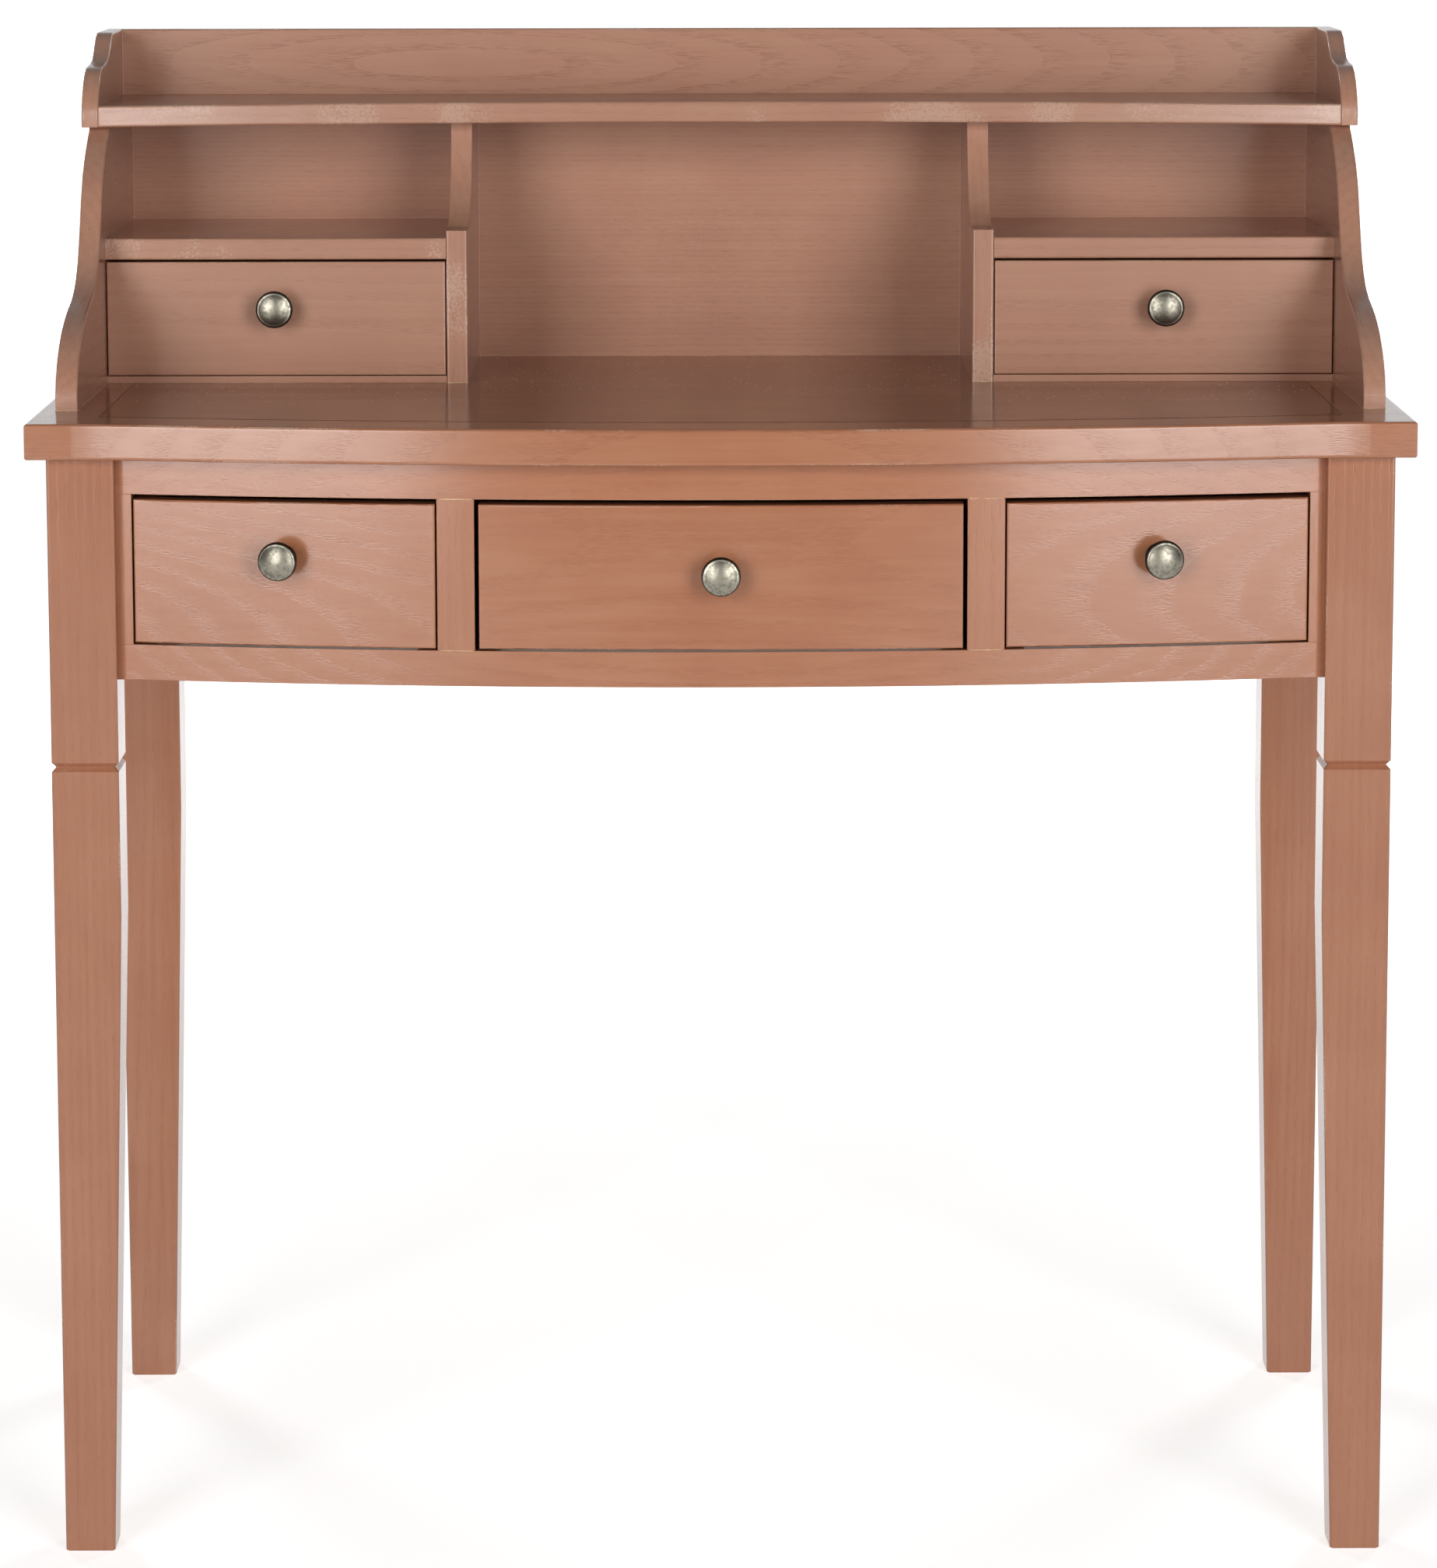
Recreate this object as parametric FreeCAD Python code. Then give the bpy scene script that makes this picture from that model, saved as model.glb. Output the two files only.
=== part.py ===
import FreeCAD, Part
import os
from math import asin, cos, degrees, sin, sqrt
from types import SimpleNamespace

# A writing desk with a bowed front, three drawers under the top and a small hutch with two more drawers.
# Millimetres, +Z up, front towards -Y, origin on the floor under the middle of the desk.

# Desktop
desk_width = 920.0
desk_depth = 476.0
top_bow = 40.0
top_height = 774.0
top_thickness = 24.0
top_corner_flat = 55.0
top_hollow_radius = 250.0
border_width = 45.0
top_edge_radius = 2.0

# Legs
leg_size = 45.0
foot_size = 33.5
leg_end_overhang = 12.5
leg_front_overhang = 13.0
leg_rear_overhang = 2.0
leg_edge_radius = 1.5
taper_height = 440.0
groove_above_taper = 102.0
groove_width = 6.0
groove_depth = 2.8
foot_chamfer = 1.0

# Apron
rail_thickness = 20.0
apron_setback = 10.0
apron_bow = 39.0
housing_depth = 8.0
top_rail_height = 25.2
drawer_opening_height = 101.1
bottom_rail_height = 23.7
center_opening_width = 325.8
divider_width = 24.8
stile_reveal = 10.3
side_apron_thickness = 18.0
side_apron_setback = 4.5
back_apron_thickness = 18.0
back_apron_setback = 4.0

# Drawer runners
runner_thickness = 12.0
runner_ledge_width = 14.0
runner_guide_height = 40.0

# Corner blocks and bolts
block_thickness = 18.0
block_height = 45.0
block_leg_gap = 0.5
bolt_diameter = 8.0
bolt_clearance = 0.2
bolt_head_diameter = 13.0
bolt_head_thickness = 5.0
bolt_leg_depth = 25.0

# Drawers under the top
desk_front_thickness = 18.0
desk_front_top_gap = 3.5
desk_front_bottom_gap = 1.3
side_front_gap = 1.2
center_front_gap = 2.8
desk_box_gap = 2.0
desk_box_thickness = 12.0
desk_box_headroom = 26.6
desk_bottom_thickness = 5.0
desk_bottom_rise = 8.0
desk_groove_depth = 5.0
desk_drawer_rear_gap = 22.0
side_knob_rise = 11.0
center_knob_rise = 3.2

# Hutch
hutch_end_setback = 11.0
hutch_board = 15.0
hutch_center_bay = 357.0
hutch_side_depth = 392.0
hutch_bay_depth = 208.0
hutch_back_thickness = 11.0
hutch_floor_thickness = 5.0
hutch_opening_height = 82.5
pigeonhole_height = 76.8
hutch_edge_radius = 1.5
side_scroll_shares = ((0, 0.05), (0.03, 0.14), (0.12, 0.245), (0.31, 0.342), (0.465, 0.388), (0.61, 0.49),
                      (0.71, 0.664), (0.765, 0.782), (0.862, 0.897), (1, 1))
divider_step_height = 5.3
divider_step_back = 36.0
divider_cove_back = 58.0
divider_cove_depth_share = 0.69
divider_cove_height_share = 0.38
shelf_end_depth = 178.0
shelf_hollow = 53.0
shelf_front_shares = (-1, -0.5, 0, 0.5, 1)
shelf_end_overhang = 15.0
gallery_height = 48.2
gallery_end_thickness = 12.0
gallery_end_proud = 3.5
gallery_scroll_depth = 107.0
gallery_scroll_shares = ((0, 0), (0.03, 0.33), (0.09, 0.46), (0.2, 0.6), (0.4, 0.66), (0.62, 0.71),
                         (0.73, 0.79), (0.83, 0.9), (1, 1))

# Hutch drawers
hutch_front_thickness = 15.0
hutch_front_top_gap = 1.6
hutch_front_bottom_gap = 0.5
hutch_front_gap = 0.7
hutch_box_gap = 1.0
hutch_box_thickness = 8.0
hutch_box_headroom = 20.1
hutch_bottom_thickness = 4.0
hutch_bottom_rise = 6.0
hutch_groove_depth = 4.0
hutch_drawer_rear_gap = 8.0
hutch_knob_rise = 8.0

# What all drawers share
running_gap = 0.4
front_edge_radius = 1.0

# Knobs and their screws
knob_diameter = 26.0
knob_projection = 24.0
knob_flange_diameter = 18.0
knob_flange_thickness = 1.5
knob_neck_diameter = 11.0
knob_neck_middle = 7.0
knob_rim_start = 17.5
knob_rim_thickness = 4.3
knob_edge_radius = 2.0
knob_bore_spare = 3.0
screw_diameter = 4.0
screw_clearance = 0.2
screw_head_diameter = 8.0
screw_head_thickness = 2.5
screw_engagement = 10.0
spot_face_depth = 1.0
spot_face_clearance = 0.5

# Every cut runs this far past the faces it opens, and faces this close count as the same one.
overrun = 5.0
same_place = 0.01

# Places worked out from the sizes above
half_width = desk_width / 2
corner_line = -(desk_depth - top_bow) / 2
rear_line = corner_line + desk_depth
underside = top_height - top_thickness
leg_outer = half_width - leg_end_overhang
leg_inner = leg_outer - leg_size
groove_middle = taper_height + groove_above_taper
front_leg_front = corner_line + leg_front_overhang
front_leg_back = front_leg_front + leg_size
apron_line = front_leg_front + apron_setback
rear_leg_back = rear_line - leg_rear_overhang
rear_leg_front = rear_leg_back - leg_size
rail_end = leg_inner + housing_depth
side_apron_outer = leg_outer - side_apron_setback
side_apron_inner = side_apron_outer - side_apron_thickness
opening_end = leg_inner - stile_reveal
divider_inner = center_opening_width / 2
divider_outer = divider_inner + divider_width
top_rail_bottom = underside - top_rail_height
bottom_rail_top = top_rail_bottom - drawer_opening_height
apron_bottom = bottom_rail_top - bottom_rail_height
back_apron_back = rear_leg_back - back_apron_setback
back_apron_front = back_apron_back - back_apron_thickness
apron_radius = (opening_end ** 2 + apron_bow ** 2) / (2 * apron_bow)
hutch_outer = half_width - hutch_end_setback
hutch_inner = hutch_outer - hutch_board
bay_inner = hutch_center_bay / 2
bay_outer = bay_inner + hutch_board
hutch_back_front = rear_line - hutch_back_thickness
hutch_drawer_line = rear_line - hutch_bay_depth
floor_top = top_height + hutch_floor_thickness
small_shelf_bottom = floor_top + hutch_opening_height
small_shelf_top = small_shelf_bottom + hutch_board
top_shelf_bottom = small_shelf_top + pigeonhole_height
top_shelf_top = top_shelf_bottom + hutch_board
gallery_top = top_shelf_top + gallery_height
gallery_outer = hutch_outer + gallery_end_proud
gallery_inner = gallery_outer - gallery_end_thickness

V = FreeCAD.Vector
ALONG_X = V(1, 0, 0)
ALONG_Y = V(0, 1, 0)
ALONG_Z = V(0, 0, 1)


def board(x0, x1, y0, y1, z0, z1):
    return Part.makeBox(x1 - x0, y1 - y0, z1 - z0, V(x0, y0, z0))


def mirrored(solid):
    return solid.mirror(V(0, 0, 0), ALONG_X)


def path(points):
    return [Part.LineSegment(a, b).toShape() for a, b in zip(points, points[1:])]


def arc(start, middle, end):
    return Part.Arc(start, middle, end).toShape()


def spline(points):
    curve = Part.BSplineCurve()
    curve.interpolate(points)
    return curve.toShape()


def prism(edges, direction):
    return Part.Face(Part.Wire(edges)).extrude(direction)


def rod(diameter, start, length, direction):
    return Part.makeCylinder(diameter / 2, length, start, direction)


def ease(solid, radius, wanted):
    return solid.makeFillet(radius, [edge for edge in solid.Edges if wanted(edge)])


def lies_at(low, high, place):
    return abs(low - place) < same_place and abs(high - place) < same_place


def at_y(edge, place):
    return lies_at(edge.BoundBox.YMin, edge.BoundBox.YMax, place)


def is_level(edge):
    return edge.BoundBox.ZLength < same_place


def touches(edge, skin):
    # True for an edge whose two ends lie on a thin layer, such as the show face of a drawer front.
    ends = [edge.valueAt(edge.FirstParameter), edge.valueAt(edge.LastParameter)]
    return all(skin.distToShape(Part.Vertex(end))[0] < same_place for end in ends)


def bowed_edge(half_bow_width, half_length, line, bow, hollow, z):
    # A straight front with a bowed middle. A hollow of that radius leads from the straight into the bow.
    radius = (half_bow_width ** 2 + bow ** 2) / (2 * bow)
    reach = sqrt(2 * bow * (radius + hollow) - bow ** 2)
    lean = asin(reach / (radius + hollow))
    on_hollow = lambda turn: V(reach - hollow * sin(turn), line - hollow * (1 - cos(turn)), z)
    meet = on_hollow(lean)
    half = path([V(reach, line, z), V(half_length, line, z)])
    if hollow:
        half.append(arc(meet, on_hollow(lean / 2), V(reach, line, z)))
    curve = arc(V(-meet.x, meet.y, z), V(0, line - bow, z), meet)
    return half + [curve] + [mirrored(edge) for edge in half]


def bowed_layer(half_bow_width, half_length, line, bow, hollow, near, far, z0, z1):
    # The solid between a bowed front moved back by near and the same front moved back by far.
    front = bowed_edge(half_bow_width, half_length, line + near, bow, hollow, z0)
    back = bowed_edge(half_bow_width, half_length, line + far, bow, hollow, z0)
    left = path([V(-half_length, line + near, z0), V(-half_length, line + far, z0)])
    right = path([V(half_length, line + near, z0), V(half_length, line + far, z0)])
    return prism(Part.sortEdges(front + back + left + right)[0], V(0, 0, z1 - z0))


def top_layer(near, far):
    half_bow_width = half_width - top_corner_flat
    return bowed_layer(half_bow_width, half_width, corner_line, top_bow, top_hollow_radius, near, far,
                       underside, top_height)


def apron_layer(near, far, z0, z1):
    return bowed_layer(opening_end, rail_end, apron_line, apron_bow, 0, near, far, z0, z1)


def apron_front(x):
    # Where the bowed front of the apron lies at a distance from the middle.
    return apron_line - apron_bow + apron_radius - sqrt(apron_radius ** 2 - x ** 2)


# Desktop
def desktop_front_strip():
    strip = top_layer(0, border_width)
    skin = top_layer(0, same_place)
    at_end = lambda edge: abs(abs(edge.CenterOfMass.x) - half_width) < same_place
    shown = lambda edge: is_level(edge) and (at_end(edge) or touches(edge, skin))
    return ease(strip, top_edge_radius, shown)


def top_stretch(x0, x1):
    return board(x0, x1, corner_line - top_bow, rear_line, underside, top_height)


def behind_strip():
    field = top_layer(border_width, desk_depth + top_bow)
    return field.common(top_stretch(-half_width, half_width))


def desktop_panel():
    inner = half_width - border_width
    return behind_strip().common(top_stretch(-inner, inner))


def desktop_end_strips():
    inner = half_width - border_width
    strip = behind_strip().common(top_stretch(inner, half_width))
    outer = lambda edge: lies_at(edge.BoundBox.XMin, edge.BoundBox.XMax, half_width)
    strip = ease(strip, top_edge_radius, lambda edge: outer(edge) and is_level(edge))
    return [strip, mirrored(strip)]


# Legs
def rounded_square(x0, y0, size, inset, radius, z):
    x1 = x0 + size - inset
    y1 = y0 + size - inset
    x0 = x0 + inset
    y0 = y0 + inset
    turn = radius * (1 - sqrt(2) / 2)
    edges = path([V(x0 + radius, y0, z), V(x1 - radius, y0, z)])
    edges.append(arc(V(x1 - radius, y0, z), V(x1 - turn, y0 + turn, z), V(x1, y0 + radius, z)))
    edges += path([V(x1, y0 + radius, z), V(x1, y1 - radius, z)])
    edges.append(arc(V(x1, y1 - radius, z), V(x1 - turn, y1 - turn, z), V(x1 - radius, y1, z)))
    edges += path([V(x1 - radius, y1, z), V(x0 + radius, y1, z)])
    edges.append(arc(V(x0 + radius, y1, z), V(x0 + turn, y1 - turn, z), V(x0, y1 - radius, z)))
    edges += path([V(x0, y1 - radius, z), V(x0, y0 + radius, z)])
    edges.append(arc(V(x0, y0 + radius, z), V(x0 + turn, y0 + turn, z), V(x0 + radius, y0, z)))
    return Part.Wire(edges)


def leg(front):
    # The right-hand leg: its outer faces stay upright and its two inner faces taper to the foot.
    lip = groove_width / 2
    levels = ((0, foot_size, foot_chamfer), (foot_chamfer, foot_size, 0), (taper_height, leg_size, 0),
              (groove_middle - lip, leg_size, 0), (groove_middle, leg_size, groove_depth),
              (groove_middle + lip, leg_size, 0), (underside, leg_size, 0))
    wires = []
    for z, size, inset in levels:
        y = front_leg_front if front else rear_leg_back - size
        wires.append(rounded_square(leg_outer - size, y, size, inset, leg_edge_radius, z))
    return Part.makeLoft(wires, True, True)


def front_leg():
    # The ends of the front rails and of the side apron are let into two housings in the leg.
    rail_housing = board(leg_inner - overrun, rail_end, apron_line, apron_line + rail_thickness,
                         apron_bottom, underside + overrun)
    side_housing = board(side_apron_inner, side_apron_outer, front_leg_back - housing_depth,
                         front_leg_back + overrun, apron_bottom, underside + overrun)
    return leg(True).cut(rail_housing).cut(side_housing)


def rear_leg():
    return leg(False).cut(rear_bolt_hole())


# Apron
def apron_top_rail():
    return apron_layer(0, rail_thickness, top_rail_bottom, underside)


def apron_bottom_rail():
    return apron_layer(0, rail_thickness, apron_bottom, bottom_rail_top)


def apron_stiles():
    band = apron_layer(0, rail_thickness, bottom_rail_top, top_rail_bottom)
    near = apron_line - apron_bow - overrun
    far = apron_line + rail_thickness + overrun
    divider = band.common(board(divider_inner, divider_outer, near, far, bottom_rail_top, top_rail_bottom))
    stile = band.common(board(opening_end, rail_end, near, far, bottom_rail_top, top_rail_bottom))
    return [divider, mirrored(divider), stile, mirrored(stile)]


def side_apron():
    return board(side_apron_inner, side_apron_outer, front_leg_back - housing_depth, rear_leg_front,
                 apron_bottom, underside)


def apron_back():
    return board(-leg_inner, leg_inner, back_apron_front, back_apron_back, apron_bottom, underside)


def behind_rails(solid):
    field = apron_layer(rail_thickness, desk_depth, apron_bottom, underside)
    return solid.common(field)


def drawer_runners():
    # A T under each divider and an L against each side apron carry the drawers and keep them straight.
    # The L is notched round the front leg.
    ledge_bottom = bottom_rail_top - runner_thickness
    guide_top = bottom_rail_top + runner_guide_height
    near = apron_line - apron_bow
    ledge = board(divider_inner - runner_ledge_width, divider_outer + runner_ledge_width, near,
                  back_apron_front, ledge_bottom, bottom_rail_top)
    guide = board(divider_inner, divider_outer, near, back_apron_front, bottom_rail_top, guide_top)
    tee = behind_rails(ledge.fuse(guide).removeSplitter())
    low = board(opening_end - runner_ledge_width, side_apron_inner, near, rear_leg_front, ledge_bottom,
                bottom_rail_top)
    wall = board(opening_end, side_apron_inner, near, rear_leg_front, bottom_rail_top, guide_top)
    notch = board(leg_inner, leg_outer, near, front_leg_back, ledge_bottom - overrun, guide_top + overrun)
    ell = behind_rails(low.fuse(wall).removeSplitter().cut(notch))
    return [tee, mirrored(tee), ell, mirrored(ell)]


# Corner blocks and bolts
def block_reaches():
    # How far the outer and inner faces of a corner block reach along each apron from the corner.
    across = side_apron_inner - leg_inner
    outer = across + (back_apron_front - rear_leg_front) + block_leg_gap * sqrt(2)
    return outer, outer + block_thickness * sqrt(2)


def corner_block():
    outer, inner = block_reaches()
    z = underside - block_height
    x = side_apron_inner
    points = [V(x, back_apron_front - outer, z), V(x, back_apron_front - inner, z),
              V(x - inner, back_apron_front, z), V(x - outer, back_apron_front, z)]
    block = prism(path(points + points[:1]), V(0, 0, block_height))
    return block.cut(rear_bolt_hole())


def corner_blocks():
    block = corner_block()
    return [block, mirrored(block)]


def rear_bolt_start():
    inner = block_reaches()[1]
    return V(side_apron_inner - inner / 2, back_apron_front - inner / 2, underside - block_height / 2)


def rear_bolt_length():
    return block_thickness + block_leg_gap + bolt_leg_depth


def rear_bolt_hole():
    direction = V(1, 1, 0).normalize()
    start = rear_bolt_start() - direction * overrun
    return rod(bolt_diameter + bolt_clearance, start, rear_bolt_length() + 2 * overrun, direction)


def bolt(seat, length, direction):
    shank = rod(bolt_diameter, seat, length, direction)
    head = rod(bolt_head_diameter, seat, bolt_head_thickness, -direction)
    return shank.fuse(head).removeSplitter()


def leg_bolts():
    one = bolt(rear_bolt_start(), rear_bolt_length(), V(1, 1, 0).normalize())
    return [one, mirrored(one)]


# Hutch
def profile_points(x, front, bottom, depth, height, shares):
    return [V(x, front + depth * along, bottom + height * up) for along, up in shares]


def hutch_side():
    front = rear_line - hutch_side_depth
    scroll_depth = hutch_side_depth - (shelf_end_depth - shelf_end_overhang)
    height = top_shelf_bottom - top_height
    scroll = profile_points(hutch_inner, front, top_height, scroll_depth, height, side_scroll_shares)
    rear = [V(hutch_inner, rear_line, top_shelf_bottom), V(hutch_inner, rear_line, top_height)]
    foot = V(hutch_inner, front, top_height)
    edges = [spline(scroll)] + path([scroll[-1]] + rear + [foot, scroll[0]])
    side = prism(edges, V(hutch_board, 0, 0))
    return ease(side, hutch_edge_radius, is_scroll)


def is_scroll(edge):
    return edge.Curve.TypeId == "Part::GeomBSplineCurve"


def hutch_dividers():
    z0 = top_height
    step = small_shelf_top + divider_step_height
    rise = top_shelf_bottom - step
    ledge = hutch_drawer_line + divider_step_back
    crown = ledge + divider_cove_back
    cove = V(bay_inner, ledge + divider_cove_back * divider_cove_depth_share,
             step + rise * divider_cove_height_share)
    start = V(bay_inner, ledge, step)
    end = V(bay_inner, crown, top_shelf_bottom)
    low = path([V(bay_inner, hutch_drawer_line, z0), V(bay_inner, hutch_drawer_line, step), start])
    high = path([end, V(bay_inner, hutch_back_front, top_shelf_bottom), V(bay_inner, hutch_back_front, z0),
                 V(bay_inner, hutch_drawer_line, z0)])
    divider = prism(low + [arc(start, cove, end)] + high, V(hutch_board, 0, 0))
    divider = ease(divider, hutch_edge_radius,
                   lambda edge: at_y(edge, hutch_drawer_line) and edge.BoundBox.ZLength > hutch_board)
    return [divider, mirrored(divider)]


def hutch_side_boards(z0, z1):
    shelf = board(bay_outer, hutch_inner, hutch_drawer_line, hutch_back_front, z0, z1)
    return [shelf, mirrored(shelf)]


def hutch_drawer_shelves():
    shelf = hutch_side_boards(small_shelf_bottom, small_shelf_top)[0]
    shelf = ease(shelf, hutch_edge_radius, lambda edge: at_y(edge, hutch_drawer_line) and is_level(edge))
    return [shelf, mirrored(shelf)]


def hutch_drawer_floors():
    return hutch_side_boards(top_height, floor_top)


def hutch_back_panel():
    return board(-hutch_inner, hutch_inner, hutch_back_front, rear_line, top_height, top_shelf_bottom)


def shelf_front(x):
    # Where the hollow front of the top shelf lies at a distance from the middle.
    radius = (gallery_inner ** 2 + shelf_hollow ** 2) / (2 * shelf_hollow)
    deepest = rear_line - shelf_end_depth + shelf_hollow
    return deepest - radius + sqrt(radius ** 2 - x ** 2)


def hutch_top_shelf():
    z = top_shelf_bottom
    places = [gallery_inner * share for share in shelf_front_shares]
    front = [V(x, shelf_front(x), z) for x in places]
    rear = [V(gallery_inner, rear_line, z), V(-gallery_inner, rear_line, z)]
    shelf = prism([spline(front)] + path([front[-1]] + rear + [front[0]]), V(0, 0, hutch_board))
    return ease(shelf, hutch_edge_radius, is_scroll)


def gallery_back():
    panel = board(-gallery_inner, gallery_inner, hutch_back_front, rear_line, top_shelf_top, gallery_top)
    upper = lambda edge: lies_at(edge.BoundBox.ZMin, edge.BoundBox.ZMax, gallery_top)
    return ease(panel, hutch_edge_radius, lambda edge: upper(edge) and edge.BoundBox.XLength > hutch_board)


def gallery_ends():
    front = rear_line - shelf_end_depth
    height = gallery_top - top_shelf_bottom
    scroll = profile_points(gallery_inner, front, top_shelf_bottom, gallery_scroll_depth, height,
                            gallery_scroll_shares)
    rear = [V(gallery_inner, rear_line, gallery_top), V(gallery_inner, rear_line, top_shelf_bottom)]
    end = prism([spline(scroll)] + path([scroll[-1]] + rear + [scroll[0]]), V(gallery_end_thickness, 0, 0))
    end = ease(end, hutch_edge_radius, is_scroll)
    return [end, mirrored(end)]


# Knobs and screws, made along -Y from a drawer front at the origin
def dome_arc(head, rim_end):
    # A ball-shaped cap, centred on the knob's axis, from its rim to its crown.
    rise = knob_projection - rim_end
    ball = (head ** 2 + rise ** 2) / (2 * rise)
    half_turn = asin(head / ball) / 2
    middle = V(ball * sin(half_turn), ball - knob_projection - ball * cos(half_turn), 0)
    return arc(V(head, -rim_end, 0), middle, V(0, -knob_projection, 0))


def knob():
    flange = knob_flange_diameter / 2
    neck = knob_neck_diameter / 2
    head = knob_diameter / 2
    rim_end = knob_rim_start + knob_rim_thickness
    bore_depth = screw_engagement + knob_bore_spare
    edges = path([V(0, 0, 0), V(flange, 0, 0), V(flange, -knob_flange_thickness, 0)])
    edges.append(arc(V(flange, -knob_flange_thickness, 0), V(neck, -knob_neck_middle, 0),
                     V(head, -knob_rim_start, 0)))
    edges += path([V(head, -knob_rim_start, 0), V(head, -rim_end, 0)])
    edges.append(dome_arc(head, rim_end))
    edges += path([V(0, -knob_projection, 0), V(0, 0, 0)])
    body = Part.Face(Part.Wire(edges)).revolve(V(0, 0, 0), ALONG_Y, 360)
    body = ease(body, knob_edge_radius, lambda edge: at_y(edge, -rim_end))
    bore = rod(screw_diameter + screw_clearance, V(0, overrun, 0), bore_depth + overrun, -ALONG_Y)
    return body.cut(bore)


def knob_screw(seat):
    shank = rod(screw_diameter, V(0, seat, 0), seat + screw_engagement, -ALONG_Y)
    head = rod(screw_head_diameter, V(0, seat, 0), screw_head_thickness, ALONG_Y)
    return shank.fuse(head).removeSplitter()


def knob_hole(seat):
    hole = rod(screw_diameter + screw_clearance, V(0, -overrun, 0), seat + 2 * overrun, ALONG_Y)
    spot_diameter = screw_head_diameter + spot_face_clearance
    spot = rod(spot_diameter, V(0, seat, 0), screw_head_thickness + overrun, ALONG_Y)
    return hole.fuse(spot)


def placed(solid, place, turn):
    moved = solid.copy()
    moved.rotate(V(0, 0, 0), ALONG_Z, turn)
    moved.translate(place)
    return moved


# Drawers
DESK_DRAWER = SimpleNamespace(
    front=desk_front_thickness, top_gap=desk_front_top_gap, bottom_gap=desk_front_bottom_gap,
    box_gap=desk_box_gap, wall=desk_box_thickness, headroom=desk_box_headroom,
    bottom=desk_bottom_thickness, rise=desk_bottom_rise, groove=desk_groove_depth,
    rear=back_apron_front - desk_drawer_rear_gap, floor=bottom_rail_top, ceiling=top_rail_bottom,
    layer=apron_layer)


def hutch_layer(near, far, z0, z1):
    return board(-hutch_inner, hutch_inner, hutch_drawer_line + near, hutch_drawer_line + far, z0, z1)


HUTCH_DRAWER = SimpleNamespace(
    front=hutch_front_thickness, top_gap=hutch_front_top_gap, bottom_gap=hutch_front_bottom_gap,
    box_gap=hutch_box_gap, wall=hutch_box_thickness, headroom=hutch_box_headroom,
    bottom=hutch_bottom_thickness, rise=hutch_bottom_rise, groove=hutch_groove_depth,
    rear=hutch_back_front - hutch_drawer_rear_gap, floor=floor_top, ceiling=small_shelf_bottom,
    layer=hutch_layer)


def slice_x(layer, x0, x1):
    box = layer.BoundBox
    return layer.common(board(x0, x1, box.YMin - overrun, box.YMax + overrun, box.ZMin, box.ZMax))


def behind_front(kind, inset, x0, x1, z0, z1):
    # What lies behind the drawer front, or inset into it, as far as the drawer's rear.
    deep = slice_x(kind.layer(kind.front - inset, desk_depth, z0, z1), x0, x1)
    box = deep.BoundBox
    return deep.common(board(x0, x1, box.YMin - overrun, kind.rear, z0, z1))


def drawer(name, kind, x0, x1, front_gap, knob_rise, knob_line, lean):
    # One drawer in the opening from x0 to x1, with its knob in the middle of the front.
    left = x0 + kind.box_gap
    right = x1 - kind.box_gap
    low = kind.floor + running_gap
    high = kind.ceiling - kind.headroom
    bottom_low = low + kind.rise
    bottom_high = bottom_low + kind.bottom
    inner_left = left + kind.wall
    inner_right = right - kind.wall
    bottom = behind_front(kind, kind.groove, inner_left - kind.groove, inner_right + kind.groove,
                          bottom_low, bottom_high)
    side_left = behind_front(kind, 0, left, inner_left, low, high).cut(bottom)
    side_right = behind_front(kind, 0, inner_right, right, low, high).cut(bottom)
    back = board(inner_left, inner_right, kind.rear - kind.wall, kind.rear, bottom_high, high)
    front_low = kind.floor + kind.bottom_gap
    front_high = kind.ceiling - kind.top_gap
    front = slice_x(kind.layer(0, kind.front, front_low, front_high), x0 + front_gap, x1 - front_gap)
    skin = kind.layer(0, same_place, front_low, front_high)
    front = ease(front, front_edge_radius, lambda edge: touches(edge, skin))
    middle = (x0 + x1) / 2
    place = V(middle, knob_line, (front_low + front_high) / 2 + knob_rise)
    seat = kind.front * cos(lean) - spot_face_depth
    angle = degrees(lean)
    front = front.cut(bottom).cut(placed(knob_hole(seat), place, angle))
    return {
        name + "_front": [front], name + "_side_left": [side_left], name + "_side_right": [side_right],
        name + "_back": [back], name + "_bottom": [bottom], name + "_knob": [placed(knob(), place, angle)],
        name + "_knob_screw": [placed(knob_screw(seat), place, angle)]}


def desk_drawer(name, x0, x1, front_gap, knob_rise):
    middle = (x0 + x1) / 2
    return drawer(name, DESK_DRAWER, x0, x1, front_gap, knob_rise, apron_front(middle),
                  asin(middle / apron_radius))


def hutch_drawer(name, x0, x1):
    return drawer(name, HUTCH_DRAWER, x0, x1, hutch_front_gap, hutch_knob_rise, hutch_drawer_line, 0)


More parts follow.
